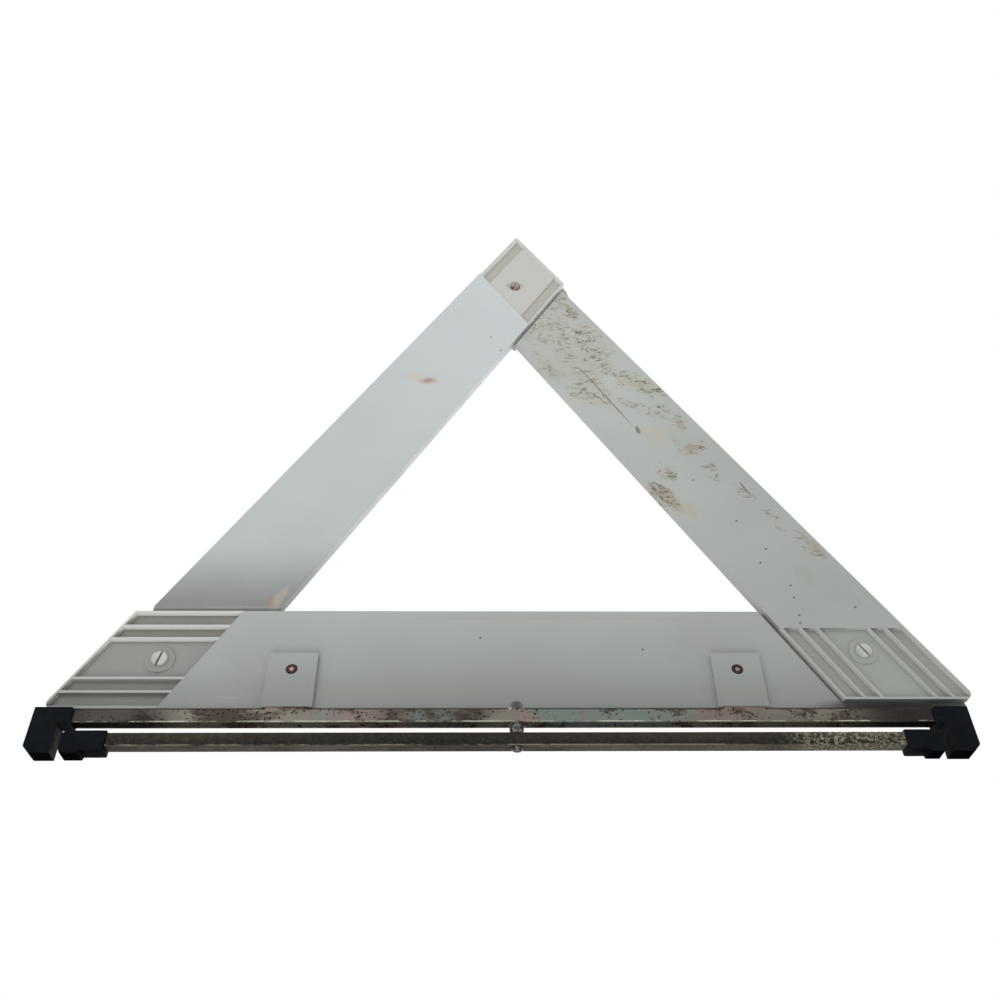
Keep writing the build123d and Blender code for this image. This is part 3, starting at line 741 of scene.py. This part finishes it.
def prism_field(node, arm, material):
    """A front strip whose face is cut into triangles, each pressed in to a three-sided prism."""
    shape = clean_copy(node)
    low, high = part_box(node)
    steps = int((high - low).length / PRISM_PITCH)
    origin = arm_origin(arm)
    for extra in (0, 60, 120):
        angle = ARM_TURNS[arm] + math.radians(extra)
        normal = Vector((math.sin(angle), 0, -math.cos(angle)))
        for index in range(-steps, steps + 1):
            spot = origin + normal * (index + 0.5) * PRISM_PITCH
            cut = shape.verts[:] + shape.edges[:] + shape.faces[:]
            bmesh.ops.bisect_plane(shape, geom=cut, dist=CUT_TOLERANCE, plane_co=spot, plane_no=normal)
    shape.normal_update()
    front = [face for face in shape.faces if face.normal.y > 0.5 and face.calc_area() > SMALLEST_PRISM]
    full = PRISM_PITCH * PRISM_PITCH / math.sqrt(3)
    for face in front:
        share = min(1.0, math.sqrt(face.calc_area() / full))
        bmesh.ops.poke(shape, faces=[face], offset=-PRISM_SINK * share)
    piece = add_piece(node, f"{node}_prisms", shape, material)
    for face in piece.data.polygons:
        face.use_smooth = False


# ---------------------------------------------------------------- stage
FLOOR_HEIGHT = -0.02 * MM


def add_floor():
    """A pale floor under the feet. From below it isn't seen, so that it hides nothing."""
    size = 12.0  # half its side, in metres
    corners = [(-size, -size), (size, -size), (size, size), (-size, size)]
    mesh = bpy.data.meshes.new("floor")
    mesh.from_pydata([(x, y, FLOOR_HEIGHT) for x, y in corners], [], [(0, 1, 2, 3)])
    floor = bpy.data.objects.new("floor", mesh)
    scene.collection.objects.link(floor)
    shader = Shader("floor", roughness=0.7)
    tint = shader.between(shader.noise(3.0), "fcfcfb", "fafaf9")
    shader.finish(tint)
    side = shader.node("ShaderNodeNewGeometry").outputs["Backfacing"]
    clear = shader.node("ShaderNodeBsdfTransparent").outputs[0]
    blend = shader.node("ShaderNodeMixShader")
    shader.put(side, blend.inputs[0])
    shader.put(shader.surface.outputs[0], blend.inputs[1])
    shader.put(clear, blend.inputs[2])
    shader.put(blend.outputs[0], shader.tree.nodes["Material Output"].inputs["Surface"])
    mesh.materials.append(shader.material)
    floor.visible_shadow = False


def add_light(name, place, target, size, power):
    """A soft square light."""
    data = bpy.data.lights.new(name, "AREA")
    data.size = size
    data.energy = power
    light = bpy.data.objects.new(name, data)
    scene.collection.objects.link(light)
    light.location = place
    light.rotation_mode = "QUATERNION"
    light.rotation_quaternion = (Vector(target) - Vector(place)).to_track_quat("-Z", "Y")


def add_world(strength):
    """White all round: full white to the eye, softer as a light."""
    world = bpy.data.worlds.new("world")
    world.use_nodes = True
    tree = world.node_tree
    background = tree.nodes["Background"]
    background.inputs["Color"].default_value = (1, 1, 1, 1)
    seen = tree.nodes.new("ShaderNodeLightPath").outputs["Is Camera Ray"]
    level = tree.nodes.new("ShaderNodeMapRange")
    tree.links.new(seen, level.inputs["Value"])
    level.inputs["To Min"].default_value = strength
    level.inputs["To Max"].default_value = 1.0
    tree.links.new(level.outputs[0], background.inputs["Strength"])
    scene.world = world
    scene.view_settings.view_transform = "Standard"


# ---------------------------------------------------------------- the object
def build_arms():
    """The three mouldings with their snap pins."""
    for arm in ARM_TURNS:
        moulded(f"{arm}_arm_housing", arm_plastic(arm), 0.45 * MM)
    pins = pin_plastic()
    for side in ("left", "right"):
        moulded(f"{side}_corner_pin", pins, 0.25 * MM)
    stud = headed_metal("apex_stud", "b6a99d", "83766c", 2.2 * MM)
    moulded("apex_stud", stud, 0.25 * MM)


def build_front():
    """The reflectors and fluorescent strips."""
    lens = reflector_red()
    strip = fluorescent_red()
    for arm in ARM_TURNS:
        prism_field(f"{arm}_reflector", arm, lens)
        moulded(f"{arm}_fluorescent_strip", strip, 0.3 * MM)


def build_stand():
    """Legs, feet, pivot and rivets."""
    zinc = zinc_steel()
    tarnish = tarnished_steel()
    plated = rivet_steel()
    cap = foot_plastic()
    moulded("upper_leg", zinc, 0.25 * MM, 2)
    moulded("lower_leg", tarnish, 0.25 * MM, 2)
    for node in ("pivot_rivet", "dished_washer", "pivot_spacer"):
        moulded(node, plated, 0.15 * MM, 2)
    for side in ("left", "right"):
        rivet = f"{side}_tongue_rivet"
        moulded(rivet, headed_metal(rivet, "957a7c", "33211f", 1.4 * MM), 0.15 * MM, 2)
        for level in ("upper", "lower"):
            moulded(f"{side}_{level}_foot", cap, 0.45 * MM)


add_camera()
add_world(0.95)
add_floor()
add_light("low", (-0.3, -0.8, -1.3), (0, 0, 0.15), 1.0, 14)
add_light("high", (-0.9, -1.4, 1.2), (-0.05, 0, 0.2), 1.2, 5)
add_light("front", (0.9, 1.6, 0.9), (0, 0, 0.2), 1.2, 8)
build_arms()
build_front()
build_stand()
